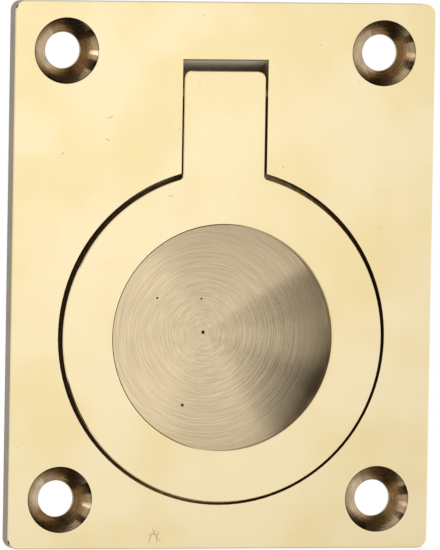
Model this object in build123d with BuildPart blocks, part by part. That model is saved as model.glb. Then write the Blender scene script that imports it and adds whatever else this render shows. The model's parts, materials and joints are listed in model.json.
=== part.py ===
from build123d import *
import os
from math import hypot, radians, tan

# Flush ring pull in solid brass, in millimetres.
# X runs to the right, Z up, and Y from the front face towards the back.
# The origin is the centre of the plate's rear seating face.

# Plate
plate_width = 50.0
plate_height = 63.0
plate_thickness = 2.5
plate_corner_radius = 1.2
edge_break = 0.12

# Countersunk screw holes, set in from the plate's edges
hole_inset_x = 6.1
hole_inset_z = 5.7
hole_diameter = 4.2
countersink_diameter = 7.65
countersink_angle = 82.0

# Ring with its hinge tab
finger_hole_radius = 13.05
ring_band = 5.95
ring_thickness = 2.5
ring_side_shift = 0.16
ring_drop = 0.17
grip_radius = 1.2
tab_width = 9.75
tab_reach = 30.6
tab_corner_radius = 0.95
tab_root_radius = 0.45
back_edge_break = 0.5

# Hinge
pin_diameter = 1.4
pin_setback = 2.6
pin_grip = 3.5
pin_end_chamfer = 0.2
bore_clearance = 0.06
swing_clearance = 0.6

# Clearances between the ring and the plate
ring_clearance = 0.45
tab_side_clearance = 0.22
tab_end_gap = 1.35

# Recess, turned into the plate below its centre, and the dished cavity behind the ring
recess_drop = 7.0
ledge_width = 2.75
dish_depth = 8.3
dish_radius = 41.6
centre_mark_radius = 0.22
centre_mark_depth = 0.18

# Hinge pocket
pocket_end_draft = 18.0
pocket_corner_radius = 0.8

# Cast rear: cup behind the dish and boss behind the hinge pocket
cup_wall = 1.6
cup_floor = 1.7
cup_draft = 9.0
cup_corner_break = 0.8
boss_wall = 2.4
boss_floor = 1.5
boss_draft = 4.0
boss_corner_radius = 2.0
boss_edge_break = 0.8

# Depths along Y: the face lies in front of the seat, and the ring's back rests on the ledge
face_y = -plate_thickness
ledge_y = face_y + ring_thickness
dish_y = face_y + dish_depth
cup_back_y = dish_y + cup_floor

# Recess and ring across the face
ring_radius = finger_hole_radius + ring_band
recess_radius = ring_radius + ring_clearance
cavity_radius = recess_radius - ledge_width
recess_z = -recess_drop
ring_z = recess_z - ring_drop

# Tab, pin and the pocket that the tab's heel swings in, which runs down behind the ring
tab_top_z = recess_z + tab_reach
pin_z = tab_top_z - pin_setback
pin_depth = ring_thickness / 2
pin_y = face_y + pin_depth
pin_radius = pin_diameter / 2
heel_sweep = hypot(pin_setback, pin_depth)
pocket_depth = pin_depth + heel_sweep + swing_clearance
pocket_floor_y = face_y + pocket_depth
slot_width = tab_width + 2 * tab_side_clearance
slot_top_z = tab_top_z + tab_end_gap
pocket_foot_z = recess_z + finger_hole_radius

# Cast rear
cup_radius = recess_radius + cup_wall
boss_width = slot_width + 2 * boss_wall
boss_top_z = slot_top_z + boss_wall
boss_back_y = pocket_floor_y + boss_floor

face_plane = Plane.XZ.offset(-face_y)
seat_plane = Plane.XZ
recess_section = Plane.XY.offset(recess_z)
recess_axis = Axis((0, 0, recess_z), (0, 1, 0))
dish_centre = (0, dish_y - dish_radius, recess_z)
pin_entry_plane = Plane.YZ.offset(plate_width / 2)
pin_length = plate_width / 2 + slot_width / 2 + pin_grip


with BuildPart() as cup:
    # Outside of the cast cup: a back domed to keep the floor even, within drafted sides
    with Locations(dish_centre):
        Sphere(dish_radius + cup_floor)
    with BuildSketch(recess_section):
        cup_back_radius = cup_radius - cup_back_y * tan(radians(cup_draft))
        with BuildLine():
            Polyline(
                (0, 0),
                (cup_radius, 0),
                (cup_back_radius, cup_back_y),
                (0, cup_back_y),
                close=True,
            )
        make_face()
    revolve(axis=recess_axis, mode=Mode.INTERSECT)
    chamfer(cup.edges().filter_by(GeomType.CIRCLE).sort_by(Axis.Y)[-1], length=cup_corner_break)


with BuildPart() as turned_recess:
    # Space turned out of the casting: the cavity with its dished floor, the recess in front of it
    # that leaves a ledge for the ring, and the lathe's centre mark
    with Locations(dish_centre):
        Sphere(dish_radius)
    with BuildSketch(face_plane):
        with Locations((0, recess_z)):
            Circle(cavity_radius)
    extrude(amount=-dish_depth, mode=Mode.INTERSECT)
    with BuildSketch(face_plane):
        with Locations((0, recess_z)):
            Circle(recess_radius)
    extrude(amount=-ring_thickness)
    with BuildSketch(recess_section):
        mark_mouth_y = dish_y - centre_mark_radius
        with BuildLine():
            Polyline(
                (0, mark_mouth_y),
                (centre_mark_radius, mark_mouth_y),
                (centre_mark_radius, dish_y),
                (0, dish_y + centre_mark_depth),
                close=True,
            )
        make_face()
    revolve(axis=recess_axis)


with BuildPart() as backplate:
    # Cast boss behind the hinge pocket, its sides drafted for the mould
    with BuildSketch(seat_plane):
        with Locations((0, (boss_top_z + recess_z) / 2)):
            Rectangle(boss_width, boss_top_z - recess_z)
    extrude(amount=-boss_back_y)
    boss_sides = backplate.faces().filter_by(Axis.X) + backplate.faces().sort_by(Axis.Z)[-1:]
    draft(boss_sides, neutral_plane=seat_plane, angle=-boss_draft)
    boss_corners = backplate.faces().sort_by(Axis.Z)[-1].edges().filter_by(Axis.X, reverse=True)
    fillet(boss_corners, radius=boss_corner_radius)
    boss_rim = backplate.faces().sort_by(Axis.Y)[-1].edges().sort_by(Axis.Z)[1:]
    chamfer(boss_rim, length=boss_edge_break)

    add(cup.part)

    # Plate, with its front arris broken
    with BuildSketch(face_plane):
        RectangleRounded(plate_width, plate_height, plate_corner_radius)
    extrude(amount=-plate_thickness)
    chamfer(backplate.faces().sort_by(Axis.Y)[0].edges(), length=edge_break)

    add(turned_recess.part, mode=Mode.SUBTRACT)

    # Hinge pocket, open to the front, with its upper end sloping in
    with BuildSketch(Plane.YZ) as pocket_section:
        pocket_end_z = slot_top_z - pocket_depth * tan(radians(pocket_end_draft))
        with BuildLine():
            Polyline(
                (face_y, slot_top_z),
                (pocket_floor_y, pocket_end_z),
                (pocket_floor_y, pocket_foot_z),
                (face_y, pocket_foot_z),
                close=True,
            )
        make_face()
        inner_corner = pocket_section.vertices().group_by(Axis.X)[-1].sort_by(Axis.Y)[-1]
        fillet(inner_corner, radius=pocket_corner_radius)
    extrude(amount=slot_width / 2, both=True, mode=Mode.SUBTRACT)

    # Four countersunk screw holes
    with Locations(face_plane):
        with GridLocations(plate_width - 2 * hole_inset_x, plate_height - 2 * hole_inset_z, 2, 2):
            CounterSinkHole(
                radius=hole_diameter / 2,
                counter_sink_radius=countersink_diameter / 2,
                depth=plate_thickness,
                counter_sink_angle=countersink_angle,
            )

    # Pin hole, drilled in from the plate's right-hand edge
    with BuildSketch(pin_entry_plane):
        with Locations((pin_y, pin_z)):
            Circle(pin_radius)
    extrude(amount=-pin_length, mode=Mode.SUBTRACT)


with BuildPart() as ring_pull:
    # Flat ring and tab in one outline
    with BuildSketch(face_plane) as ring_outline:
        with Locations((ring_side_shift, ring_z)):
            Circle(ring_radius)
        with Locations((0, (tab_top_z + ring_z) / 2)):
            Rectangle(tab_width, tab_top_z - ring_z)
        fillet(ring_outline.vertices().sort_by(Axis.Y)[-2:], radius=tab_corner_radius)
        # Each rounded corner now ends in two points, and the tab's roots are the next pair down
        fillet(ring_outline.vertices().sort_by(Axis.Y)[-6:-4], radius=tab_root_radius)
        with Locations((ring_side_shift, ring_z)):
            Circle(finger_hole_radius, mode=Mode.SUBTRACT)
    extrude(amount=-ring_thickness)

    # Finger hole rounded off at the back, and the outline broken at the back and the front
    fillet(ring_pull.faces().sort_by(Axis.Y)[-1].inner_wires().edges(), radius=grip_radius)
    chamfer(ring_pull.faces().sort_by(Axis.Y)[-1].outer_wire().edges(), length=back_edge_break)
    chamfer(ring_pull.faces().sort_by(Axis.Y)[0].edges(), length=edge_break)

    # Running bore for the pin
    with BuildSketch(Plane.YZ):
        with Locations((pin_y, pin_z)):
            Circle(pin_radius + bore_clearance)
    extrude(amount=tab_width / 2, both=True, mode=Mode.SUBTRACT)


with BuildPart() as hinge_pin:
    # Plain pin, its outer end dressed flush with the plate's edge
    with BuildSketch(pin_entry_plane):
        with Locations((pin_y, pin_z)):
            Circle(pin_radius)
    extrude(amount=-pin_length)
    chamfer(hinge_pin.faces().sort_by(Axis.X)[0].edges(), length=pin_end_chamfer)


os.makedirs("parts", exist_ok=True)
backplate.part.label = "backplate"
export_step(backplate.part, "parts/backplate.step")
ring_pull.part.label = "ring_pull"
export_step(ring_pull.part, "parts/ring_pull.step")
hinge_pin.part.label = "hinge_pin"
export_step(hinge_pin.part, "parts/hinge_pin.step")
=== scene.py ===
import json
from math import cos, hypot, radians, sin, tan

import bpy
from mathutils import Matrix, Vector


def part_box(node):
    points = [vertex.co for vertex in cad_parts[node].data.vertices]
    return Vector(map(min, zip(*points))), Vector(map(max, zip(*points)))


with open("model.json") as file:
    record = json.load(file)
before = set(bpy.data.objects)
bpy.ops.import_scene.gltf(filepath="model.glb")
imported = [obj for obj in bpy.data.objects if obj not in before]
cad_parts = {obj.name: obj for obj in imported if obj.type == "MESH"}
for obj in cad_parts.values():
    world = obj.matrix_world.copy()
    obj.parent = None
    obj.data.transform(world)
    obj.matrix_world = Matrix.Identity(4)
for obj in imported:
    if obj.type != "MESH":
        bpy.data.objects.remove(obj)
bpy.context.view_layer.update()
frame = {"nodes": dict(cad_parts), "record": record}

MM = 0.001

# Measures that the frame gives
plate_low, plate_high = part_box("backplate")
ring_low, ring_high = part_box("ring_pull")
face_y = plate_low.y
half_width = plate_high.x
half_height = plate_high.z
ring_radius = (ring_high.x - ring_low.x) / 2
screw_mount = next(m for m in frame["record"]["mounts"] if m["name"] == "screw_holes")
hole_x = screw_mount["dims"]["spacing_x_mm"] * MM / 2
hole_z = screw_mount["dims"]["spacing_y_mm"] * MM / 2

# Measures of the cuts in the casting
recess_centre = Vector((0, 0, -7.0 * MM))
recess_radius = 19.45 * MM
cavity_radius = 16.7 * MM
slot_half_width = 5.095 * MM
slot_foot_z = recess_centre.z + 13.0 * MM
countersink_radius = 3.83 * MM
plate_corner_radius = 1.2 * MM
edge_break = 0.12 * MM
# How far from its place a face's centre may lie and still be told by it
slack = 0.05 * MM


# ---------------------------------------------------------------------------
# Camera: a long lens, a little to the left of the pull and a little above it
# ---------------------------------------------------------------------------

CAMERA_AZIMUTH = radians(-15.03)
CAMERA_ELEVATION = radians(3.0)
CAMERA_ROLL = radians(-0.95)
CAMERA_DISTANCE = 1.2
CAMERA_LENS = 682.1
AIM_RIGHT = -0.297 * MM
AIM_UP = 0.103 * MM


def make_camera():
    a, e, r = CAMERA_AZIMUTH, CAMERA_ELEVATION, CAMERA_ROLL
    back = Vector((sin(a) * cos(e), -cos(a) * cos(e), sin(e)))
    level = Vector((cos(a), sin(a), 0))
    upright = back.cross(level)
    right = cos(r) * level - sin(r) * upright
    up = sin(r) * level + cos(r) * upright
    target = Vector((0, face_y, 0)) + AIM_RIGHT * right + AIM_UP * up
    data = bpy.data.cameras.new("camera")
    data.lens = CAMERA_LENS
    data.clip_start = 0.05
    data.clip_end = 20
    camera = bpy.data.objects.new("camera", data)
    bpy.context.scene.collection.objects.link(camera)
    place = Matrix((right, up, back)).transposed().to_4x4()
    place.translation = target + CAMERA_DISTANCE * back
    camera.matrix_world = place
    bpy.context.scene.camera = camera


# ---------------------------------------------------------------------------
# Shader nodes
# ---------------------------------------------------------------------------

class Tree:
    """One node tree, with short ways to add the nodes that the finishes need."""

    def __init__(self, tree):
        self.tree = tree
        tree.nodes.clear()

    def node(self, kind, inputs=None, **settings):
        made = self.tree.nodes.new("ShaderNode" + kind)
        for name, value in settings.items():
            setattr(made, name, value)
        for name, value in (inputs or {}).items():
            self.feed(made.inputs[name], value)
        return made

    def feed(self, socket, value):
        if isinstance(value, bpy.types.NodeSocket):
            self.tree.links.new(value, socket)
        else:
            socket.default_value = value

    def math(self, operation, *values):
        made = self.tree.nodes.new("ShaderNodeMath")
        made.operation = operation
        for socket, value in zip(made.inputs, values):
            self.feed(socket, value)
        return made.outputs[0]

    def vector(self, operation, *values):
        made = self.tree.nodes.new("ShaderNodeVectorMath")
        made.operation = operation
        sockets = [s for s in made.inputs if s.enabled]
        for socket, value in zip(sockets, values):
            self.feed(socket, value)
        scalar = operation in ("LENGTH", "DISTANCE", "DOT_PRODUCT")
        return made.outputs["Value" if scalar else "Vector"]

    def split(self, vector):
        made = self.node("SeparateXYZ", {0: vector})
        return made.outputs[0], made.outputs[1], made.outputs[2]

    def join(self, x, y, z):
        return self.node("CombineXYZ", {0: x, 1: y, 2: z}).outputs[0]

    def step(self, value, low, high, to_low=0.0, to_high=1.0):
        """A smooth ramp of value from low to high."""
        made = self.node("MapRange", interpolation_type="SMOOTHSTEP")
        for socket, number in zip(made.inputs, (value, low, high, to_low, to_high)):
            self.feed(socket, number)
        return made.outputs[0]

    def noise(self, vector, scale, detail=2.0, rough=0.5, dimensions="3D"):
        made = self.node("TexNoise", noise_dimensions=dimensions)
        self.feed(made.inputs["W" if dimensions == "1D" else "Vector"], vector)
        for name, value in (("Scale", scale), ("Detail", detail), ("Roughness", rough)):
            made.inputs[name].default_value = value
        return made.outputs[0]

    def mix(self, share, first, second):
        made = self.node("Mix", data_type="RGBA")
        colours = [s for s in made.inputs if s.type == "RGBA"]
        self.feed(made.inputs[0], share)
        self.feed(colours[0], first)
        self.feed(colours[1], second)
        return next(s for s in made.outputs if s.type == "RGBA")

    def object_point(self):
        """The point in the piece's own space, in millimetres."""
        place = self.node("TexCoord").outputs["Object"]
        return self.vector("MULTIPLY", place, (1 / MM, 1 / MM, 1 / MM))

    def bump(self, height):
        """The normal of a surface raised by height, in millimetres."""
        return self.node("Bump", {"Height": height, "Strength": 1.0, "Distance": MM}).outputs[0]

    def finish(self, shader, kind="OutputMaterial"):
        """Sends shader to the tree's output."""
        output = self.node(kind)
        self.tree.links.new(shader.outputs[0], output.inputs["Surface"])


def new_material(name):
    material = bpy.data.materials.new(name)
    material.use_nodes = True
    return material, Tree(material.node_tree)


def finish_metal(tree, colour, roughness, normal, **more):
    """Ends a material as metal; more are further inputs of its shader."""
    tree.finish(tree.node("BsdfPrincipled", {
        "Base Color": colour, "Metallic": 1.0, "Roughness": roughness, "Normal": normal, **more}))


def rgb(red, green, blue):
    return (red, green, blue, 1.0)


# ---------------------------------------------------------------------------
# Finishes
# ---------------------------------------------------------------------------

POLISHED = rgb(0.90, 0.76, 0.48)
POLISHED_DEEP = rgb(0.86, 0.705, 0.385)

# Scratches on the face, as right and up of the plate's centre, angle in degrees and length in
# millimetres; the first four cross in a star
SCRATCH_WIDTH = (0.02, 0.07)
SCRATCH_BOW = 0.25
FACE_SCRATCHES = (
    (-8.0, -30.0, 60, 2.0), (-7.5, -30.0, 125, 1.9), (-7.8, -29.8, 5, 1.4), (-7.3, -30.1, 80, 1.5),
    (-13.6, 18.2, 20, 0.7), (-6.3, 9.2, 5, 0.6), (-13.9, 15.6, 150, 0.5), (-19.2, 14.0, 40, 0.4),
)

# The centre mark and pits in the dish, as right and up of the dish's centre and radius, in
# millimetres
DISH_PITS = ((0.0, 0.0, 0.15), (-2.6, -8.4, 0.16), (-5.7, 4.0, 0.11), (-0.3, 3.9, 0.1))


def scratches(tree, x, z):
    """One on the short, slightly bowed scratches of the face and nothing beside them."""
    found = 0.0
    for mark_x, mark_z, angle, length in FACE_SCRATCHES:
        right = tree.math("SUBTRACT", x, mark_x)
        above = tree.math("SUBTRACT", z, mark_z)
        c, s = cos(radians(angle)), sin(radians(angle))
        along = tree.math("ADD", tree.math("MULTIPLY", right, c), tree.math("MULTIPLY", above, s))
        across = tree.math("SUBTRACT", tree.math("MULTIPLY", above, c),
                           tree.math("MULTIPLY", right, s))
        bow = tree.math("MULTIPLY", tree.math("MULTIPLY", along, along), SCRATCH_BOW)
        across = tree.math("ADD", across, bow)
        on_line = tree.step(tree.math("ABSOLUTE", across), *SCRATCH_WIDTH, 1.0, 0.0)
        near = tree.step(tree.math("ABSOLUTE", along), length * 0.3, length * 0.55, 1.0, 0.0)
        found = tree.math("MAXIMUM", found, tree.math("MULTIPLY", on_line, near))
    return found


def polished_brass(name):
    """Buffed brass: almost a mirror, rolled off softly towards the plate's edges, with faint
    hairlines, scratches, pits and cloudy patches."""
    material, tree = new_material(name)
    point = tree.object_point()
    x, _, z = tree.split(point)
    cloud = tree.noise(point, 0.09, detail=2.0)
    colour = tree.mix(tree.step(cloud, 0.38, 0.66), POLISHED, POLISHED_DEEP)
    stretched = tree.vector("MULTIPLY", point, (0.5, 1.0, 3.2))
    hairline = tree.noise(stretched, 1.7, detail=5.0, rough=0.62)
    pit_cells = tree.node("TexVoronoi", {"Vector": point, "Scale": 0.42}, feature="F1")
    pit = tree.step(pit_cells.outputs["Distance"], 0.022, 0.05, 1.0, 0.0)
    pit_here = tree.step(tree.split(pit_cells.outputs["Color"])[0], 0.62, 0.7)
    pit = tree.math("MULTIPLY", pit, pit_here)
    colour = tree.mix(tree.math("MULTIPLY", pit, 0.45), colour, rgb(0.42, 0.33, 0.2))
    scratch = scratches(tree, x, z)
    colour = tree.mix(tree.math("MULTIPLY", scratch, 0.8), colour, rgb(0.45, 0.34, 0.18))
    roughness = tree.step(hairline, 0.3, 0.75, 0.085, 0.135)
    roll = tree.math("ADD", tree.math("POWER", tree.math("DIVIDE", x, half_width / MM), 4.0),
                     tree.math("POWER", tree.math("DIVIDE", z, half_height / MM), 4.0))
    height = tree.math("MULTIPLY", roll, -0.035)
    height = tree.math("ADD", height, tree.math("MULTIPLY", cloud, 0.02))
    height = tree.math("ADD", height, tree.math("MULTIPLY", hairline, 0.0002))
    height = tree.math("ADD", height, tree.math("MULTIPLY", pit, -0.004))
    height = tree.math("ADD", height, tree.math("MULTIPLY", scratch, -0.003))
    finish_metal(tree, colour, roughness, tree.bump(height))
    return material


def satin_brass(name, stretch, colour, dark, rough):
    """A face that was milled or linished and not buffed, its grain drawn out by stretch."""
    material, tree = new_material(name)
    point = tree.object_point()
    grain = tree.noise(tree.vector("MULTIPLY", point, stretch), 1.0, detail=5.0, rough=0.6)
    cloud = tree.noise(point, 0.35, detail=3.0)
    shade = tree.math("MULTIPLY", tree.step(grain, 0.25, 0.75), 0.45)
    shade = tree.math("ADD", shade, tree.math("MULTIPLY", tree.step(cloud, 0.3, 0.7), 0.4))
    roughness = tree.step(grain, 0.25, 0.75, rough - 0.06, rough + 0.08)
    height = tree.math("MULTIPLY", grain, 0.008)
    finish_metal(tree, tree.mix(shade, colour, dark), roughness, tree.bump(height))
    return material


def turned_dish(name):
    """The dished floor as the lathe left it: fine rings about the centre mark, so that light
    spreads out along the radius, and a few small pits."""
    material, tree = new_material(name)
    point = tree.object_point()
    centre = tuple(recess_centre / MM)
    x, _, z = tree.split(tree.vector("SUBTRACT", point, centre))
    radial = tree.join(x, 0.0, z)
    radius = tree.vector("LENGTH", radial)
    outward = tree.vector("NORMALIZE", radial)
    wander = tree.math("MULTIPLY", tree.noise(point, 0.12, detail=1.0), 0.12)
    lane = tree.math("ADD", radius, wander)
    fine = tree.noise(lane, 9.0, detail=3.0, rough=0.75, dimensions="1D")
    broad = tree.noise(lane, 1.6, detail=2.0, rough=0.6, dimensions="1D")
    drawn = tree.vector("MULTIPLY", outward, (2.2, 0.0, 2.2))
    patch_point = tree.vector("ADD", drawn, tree.join(0.0, tree.math("MULTIPLY", radius, 5.0), 0.0))
    patches = tree.noise(patch_point, 1.0, detail=3.0, rough=0.65)
    shade = tree.math("ADD", tree.math("MULTIPLY", tree.step(fine, 0.3, 0.68), 0.5),
                      tree.math("MULTIPLY", tree.step(patches, 0.3, 0.7), 0.3))
    colour = tree.mix(shade, rgb(0.86, 0.705, 0.46), rgb(0.58, 0.455, 0.28))
    pits = 0.0
    for pit_x, pit_z, pit_radius in DISH_PITS:
        away = tree.vector("LENGTH", tree.vector("SUBTRACT", radial, (pit_x, 0.0, pit_z)))
        pit = tree.step(away, pit_radius * 0.6, pit_radius * 1.3, 1.0, 0.0)
        pits = tree.math("MAXIMUM", pits, pit)
    # The centre mark and pits are real dents in the bump, and are also painted near black as painted
    # shade in their hollows
    colour = tree.mix(pits, colour, rgb(0.06, 0.045, 0.03))
    height = tree.math("ADD", tree.math("MULTIPLY", fine, 0.007),
                       tree.math("MULTIPLY", broad, 0.02))
    height = tree.math("ADD", height, tree.math("MULTIPLY", patches, 0.002))
    height = tree.math("ADD", height, tree.math("MULTIPLY", pits, -0.05))
    roughness = tree.step(patches, 0.3, 0.7, 0.22, 0.27)
    finish_metal(tree, colour, roughness, tree.bump(height), Anisotropic=1.0, Tangent=outward)
    return material


def countersink_brass(name):
    """Cut with a rose bit and darkened with age: glossy, with rings about each hole, and darker
    still at the rim."""
    material, tree = new_material(name)
    point = tree.object_point()
    x, _, z = tree.split(point)
    across = tree.math("SUBTRACT", tree.math("ABSOLUTE", x), hole_x / MM)
    along = tree.math("SUBTRACT", tree.math("ABSOLUTE", z), hole_z / MM)
    radius = tree.vector("LENGTH", tree.join(across, 0.0, along))
    rings = tree.noise(radius, 6.0, detail=3.0, rough=0.7, dimensions="1D")
    cloud = tree.noise(point, 0.8, detail=4.0)
    colour = tree.mix(tree.step(cloud, 0.3, 0.7), rgb(0.6, 0.45, 0.27), rgb(0.42, 0.3, 0.17))
    colour = tree.mix(tree.math("MULTIPLY", tree.step(rings, 0.4, 0.6), 0.35), colour,
                      rgb(0.2, 0.13, 0.06))
    rim = countersink_radius / MM
    # Darker towards the rim
    near_rim = tree.step(radius, rim - 0.3, rim - 0.05)
    colour = tree.mix(tree.math("MULTIPLY", near_rim, 0.6), colour, rgb(0.12, 0.08, 0.04))
    height = tree.math("ADD", tree.math("MULTIPLY", rings, 0.006),
                       tree.math("MULTIPLY", cloud, 0.015))
    roughness = tree.step(cloud, 0.3, 0.7, 0.1, 0.16)
    finish_metal(tree, colour, roughness, tree.bump(height))
    return material


def cast_brass(name):
    """As cast: the fine sand skin of the mould, dull and a little tarnished."""
    material, tree = new_material(name)
    point = tree.object_point()
    sand = tree.noise(point, 3.6, detail=5.0, rough=0.6)
    swell = tree.noise(point, 0.25, detail=2.0)
    shade = tree.math("ADD", tree.math("MULTIPLY", tree.step(sand, 0.3, 0.7), 0.5),
                      tree.math("MULTIPLY", tree.step(swell, 0.3, 0.7), 0.45))
    colour = tree.mix(shade, rgb(0.72, 0.57, 0.33), rgb(0.45, 0.33, 0.18))
    height = tree.math("ADD", tree.math("MULTIPLY", sand, 0.09),
                       tree.math("MULTIPLY", swell, 0.25))
    finish_metal(tree, colour, tree.step(sand, 0.3, 0.7, 0.42, 0.6), tree.bump(height))
    return material


def dull_brass(name):
    """The end of the slot: filed, left dull and dusty with buffing compound, with painted shade along
    its front arris.
    """
    material, tree = new_material(name)
    point = tree.object_point()
    _, y, _ = tree.split(point)
    file_marks = tree.noise(tree.vector("MULTIPLY", point, (6.0, 0.7, 0.7)), 1.0, detail=4.0)
    colour = tree.mix(tree.step(file_marks, 0.3, 0.7), rgb(0.92, 0.85, 0.73), rgb(0.8, 0.72, 0.6))
    # Painted shade: a dark brown band along the front arris, where the end wall meets the face
    painted_arris_shade = tree.step(y, face_y / MM + 0.45, face_y / MM + 0.75, 1.0, 0.0)
    colour = tree.mix(painted_arris_shade, colour, rgb(0.16, 0.11, 0.05))
    height = tree.math("MULTIPLY", file_marks, 0.01)
    tree.finish(tree.node("BsdfPrincipled", {
        "Base Color": colour, "Roughness": 0.7, "Normal": tree.bump(height),
        "Sheen Weight": 1.0, "Sheen Roughness": 0.4, "Sheen Tint": rgb(1.0, 0.93, 0.8)}))
    return material


def recess_wall(name):
    """The turned wall round the ring: painted light at its mouth in bright brass, and painted shade
    further in as dark brown.
    """
    material, tree = new_material(name)
    point = tree.object_point()
    _, y, _ = tree.split(point)
    grain = tree.noise(tree.vector("MULTIPLY", point, (1.5, 6.0, 1.5)), 1.0, detail=4.0)
    depth = tree.math("SUBTRACT", y, face_y / MM)
    depth = tree.math("ADD", depth, tree.math("MULTIPLY", grain, 0.3))
    # Painted light: bright brass at the wall's mouth; painted shade: dark brown deeper in, blended by
    # depth
    painted_light_at_mouth = tree.mix(grain, rgb(0.85, 0.67, 0.38), rgb(0.6, 0.45, 0.24))
    painted_shade_further_in = tree.mix(grain, rgb(0.3, 0.21, 0.12), rgb(0.14, 0.1, 0.05))
    colour = tree.mix(tree.step(depth, 0.6, 1.3), painted_light_at_mouth, painted_shade_further_in)
    finish_metal(tree, colour, tree.step(grain, 0.3, 0.7, 0.3, 0.42),
                 tree.bump(tree.math("MULTIPLY", grain, 0.006)))
    return material


def drawn_brass(name):
    """Drawn rod, with faint lines along it."""
    material, tree = new_material(name)
    point = tree.object_point()
    lines = tree.noise(tree.vector("MULTIPLY", point, (0.4, 9.0, 9.0)), 1.0, detail=3.0)
    colour = tree.mix(tree.step(lines, 0.3, 0.7), rgb(0.84, 0.68, 0.38), rgb(0.7, 0.55, 0.3))
    height = tree.math("MULTIPLY", lines, 0.004)
    finish_metal(tree, colour, tree.step(lines, 0.3, 0.7, 0.22, 0.34), tree.bump(height))
    return material


# ---------------------------------------------------------------------------
# Which finish each face of the casting and the ring has
# ---------------------------------------------------------------------------

def plate_finish(centre, normal):
    """The finish of a face of the casting, from where it lies and which way it looks."""
    x, y, z = centre
    hole = hypot(abs(x) - hole_x, abs(z) - hole_z)
    radius = hypot(x - recess_centre.x, z - recess_centre.z)
    inset = min(half_width - abs(x), half_height - abs(z))
    if hole < countersink_radius and abs(normal.y) < 0.9:
        return "countersink"
    if y < face_y + edge_break + slack and normal.y < -0.5:
        return "face"
    if inset < plate_corner_radius + slack and y < 0 and abs(normal.y) < 0.5:
        return "side"
    if normal.y > 0.02:
        return "seat" if abs(y) < slack else "cast"
    if abs(x) < slot_half_width + slack and z > slot_foot_z:
        return "pocket_end" if normal.z < -0.5 else "pocket"
    if radius < cavity_radius - slack:
        return "dish"
    if radius < recess_radius + slack:
        return "wall"
    return "pocket"


def ring_finish(centre, normal):
    """The finish of a face of the ring, from where it lies and which way it looks."""
    if normal.y < -0.5:
        return "face"
    if normal.y > 0.9:
        return "back"
    return "tab_edge" if centre.z > recess_centre.z + ring_radius else "edge"


def dress(node, finish_of, materials):
    """Gives a CAD node its materials, face by face."""
    piece = frame["nodes"][node]
    names = list(materials)
    piece.data.materials.clear()
    for name in names:
        piece.data.materials.append(materials[name])
    for polygon in piece.data.polygons:
        polygon.material_index = names.index(finish_of(polygon.center, polygon.normal))


# ---------------------------------------------------------------------------
# Studio: a light tent round the pull, a pale floor and white beyond
# ---------------------------------------------------------------------------

# Half the width of the tent, and how far inside its panels the cards hang
TENT = 0.45
CARD_GAP = 0.004
# Dark cards in front of the front panel, as azimuth and elevation in degrees seen from the pull
DARK_CARDS = {
    "dark_upper": ((-4, 3), (-4, 25), (-24, 47), (-44, 40), (-44, 4)),
    "dark_lower": ((-4, -6), (-4, -16), (-28, -30), (-28, -8)),
}
# A grey card between them
GREY_CARD = ((-12, -7), (-12, 2.5), (-44, 4), (-44, -8))
FLOOR_RADIUS = 2.5
FLOOR_DROP = 0.01


def new_stage(name, corners, faces, material):
    mesh = bpy.data.meshes.new(name)
    mesh.from_pydata([tuple(c) for c in corners], [], faces)
    mesh.materials.append(material)
    made = bpy.data.objects.new(name, mesh)
    bpy.context.scene.collection.objects.link(made)
    return made


def glow(name, strength, hot_spot=None):
    """A lit panel. hot_spot is (centre, reach, added strength) of a brighter patch on it."""
    material, tree = new_material(name)
    level = strength
    if hot_spot is not None:
        centre, reach, more = hot_spot
        place = tree.node("NewGeometry").outputs["Position"]
        away = tree.vector("DISTANCE", place, tuple(centre))
        ratio = tree.math("DIVIDE", away, reach)
        square = tree.math("MULTIPLY", ratio, ratio)
        fall = tree.math("EXPONENT", tree.math("MULTIPLY", square, -1.0))
        level = tree.math("ADD", strength, tree.math("MULTIPLY", fall, more))
    tree.finish(tree.node("Emission", {"Color": rgb(1, 1, 1), "Strength": level}))
    return material


def card(name, corners, material):
    """A flat card that the camera doesn't see, only its light and reflection."""
    made = new_stage(name, corners, [tuple(range(len(corners)))], material)
    made.visible_camera = False
    return made


def panel(name, middle, across, along, material):
    """A rectangular card, its half sizes given as vectors."""
    m, a, b = Vector(middle), Vector(across), Vector(along)
    return card(name, [m - a - b, m + a - b, m + a + b, m - a + b], material)


def front_point(azimuth, elevation):
    """Where a direction from the pull, in degrees, meets a plane just inside the front panel."""
    a, e = radians(azimuth), radians(elevation)
    depth = TENT - CARD_GAP
    return Vector((depth * tan(a), -depth, depth * tan(e) / cos(a)))


def make_tent():
    t = TENT
    front = glow("tent_front", 0.76, ((0.09, -t, 0.012), 0.1, 0.41))
    panel("front_panel", (0, -t, 0), (t, 0, 0), (0, 0, t), front)
    panel("left_panel", (-t, 0, 0), (0, t, 0), (0, 0, t), glow("tent_left", 0.9))
    panel("right_panel", (t, 0, 0), (0, t, 0), (0, 0, t), glow("tent_right", 1.0))
    panel("top_panel", (0, 0, t), (t, 0, 0), (0, t, 0), glow("tent_top", 0.95))
    panel("bottom_panel", (0, 0, -t), (t, 0, 0), (0, t, 0), glow("tent_bottom", 0.6))
    panel("back_panel", (0, t, 0), (t, 0, 0), (0, 0, t), glow("tent_back", 0.6))


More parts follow.
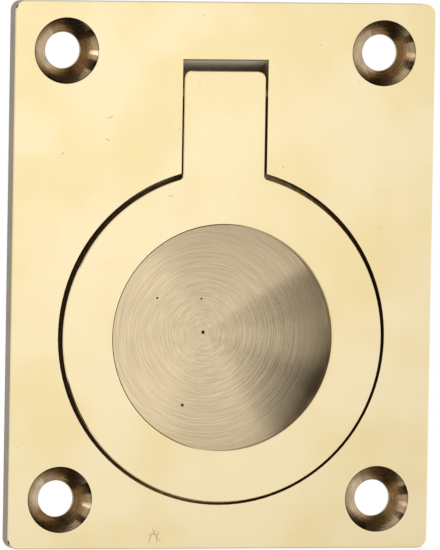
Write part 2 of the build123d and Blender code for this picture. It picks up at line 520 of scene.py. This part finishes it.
def make_cards():
    """What hangs in the tent: a soft box and a strip light, the cards that the dish mirrors as its
    dark wedge, and two flags at the left that show as dark patches in the countersinks."""
    inner = TENT - CARD_GAP
    panel("front_soft_box", (0.33, -inner, 0.0), (0.11, 0, 0), (0, 0, 0.3), glow("soft_box", 1.25))
    panel("strip_light", (-inner, -0.058, 0.05), (0, 0.018, 0), (0, 0, 0.04), glow("strip", 4.0))
    black = glow("black_card", 0.01)
    for name, outline in DARK_CARDS.items():
        card(name, [front_point(*direction) for direction in outline], black)
    card("grey_front", [front_point(*direction) for direction in GREY_CARD], glow("grey_card", 0.13))
    panel("dark_side", (-inner, -0.34, 0.17), (0, 0.1, 0), (0, 0, 0.14), black)
    for name, height, half in (("flag_low", -0.108, 0.042), ("flag_high", 0.118, 0.044)):
        panel(name, (-0.15, -0.022, height), (0, 0.02, 0), (0, 0, half), black)


def make_floor():
    """A pale floor below the tent, clear when it is seen from below."""
    level = -TENT - FLOOR_DROP
    rim = [Vector((FLOOR_RADIUS * cos(radians(a)), FLOOR_RADIUS * sin(radians(a)), level))
           for a in range(0, 360, 5)]
    material, tree = new_material("pale_floor")
    white = tree.node("Emission", {"Color": rgb(1, 1, 1), "Strength": 1.0})
    clear = tree.node("BsdfTransparent")
    below = tree.node("NewGeometry").outputs["Backfacing"]
    tree.finish(tree.node("MixShader", {0: below, 1: white.outputs[0], 2: clear.outputs[0]}))
    new_stage("floor", rim, [tuple(range(len(rim)))], material)


def make_world():
    world = bpy.data.worlds.new("world")
    bpy.context.scene.world = world
    world.use_nodes = True
    tree = Tree(world.node_tree)
    tree.finish(tree.node("Background", {"Color": rgb(1, 1, 1), "Strength": 1.0}), "OutputWorld")
    bpy.context.scene.view_settings.view_transform = "Standard"


# ---------------------------------------------------------------------------
# The scene
# ---------------------------------------------------------------------------

make_camera()
make_tent()
make_cards()
make_floor()
make_world()

polished = polished_brass("polished_brass")
dress("backplate", plate_finish, {
    "face": polished,
    "side": satin_brass("side_brass", (5.0, 5.0, 0.6),
                        rgb(0.46, 0.39, 0.29), rgb(0.34, 0.285, 0.205), 0.36),
    "seat": satin_brass("linished_seat", (0.5, 4.0, 4.0),
                        rgb(0.8, 0.65, 0.4), rgb(0.6, 0.47, 0.28), 0.3),
    "cast": cast_brass("cast_brass"),
    "pocket": satin_brass("pocket_brass", (1.5, 1.5, 1.5),
                          rgb(0.74, 0.63, 0.46), rgb(0.5, 0.42, 0.3), 0.48),
    "pocket_end": dull_brass("pocket_end"),
    "dish": turned_dish("turned_dish"),
    "wall": recess_wall("recess_wall"),
    "countersink": countersink_brass("countersink_brass"),
})
dress("ring_pull", ring_finish, {
    "face": polished,
    # The ring's edges are painted dark brown as painted shade; the tab's edges, of the same finish,
    # stay bright brass
    "edge": satin_brass("ring_edge_painted_shade", (1.5, 4.0, 1.5),
                        rgb(0.46, 0.34, 0.2), rgb(0.27, 0.19, 0.11), 0.3),
    "tab_edge": satin_brass("tab_edge", (1.5, 4.0, 1.5),
                            rgb(0.9, 0.76, 0.5), rgb(0.7, 0.56, 0.33), 0.28),
    "back": satin_brass("ring_back", (0.6, 3.0, 3.0),
                        rgb(0.82, 0.67, 0.4), rgb(0.66, 0.52, 0.3), 0.24),
})
dress("hinge_pin", lambda centre, normal: "rod", {"rod": drawn_brass("drawn_rod")})
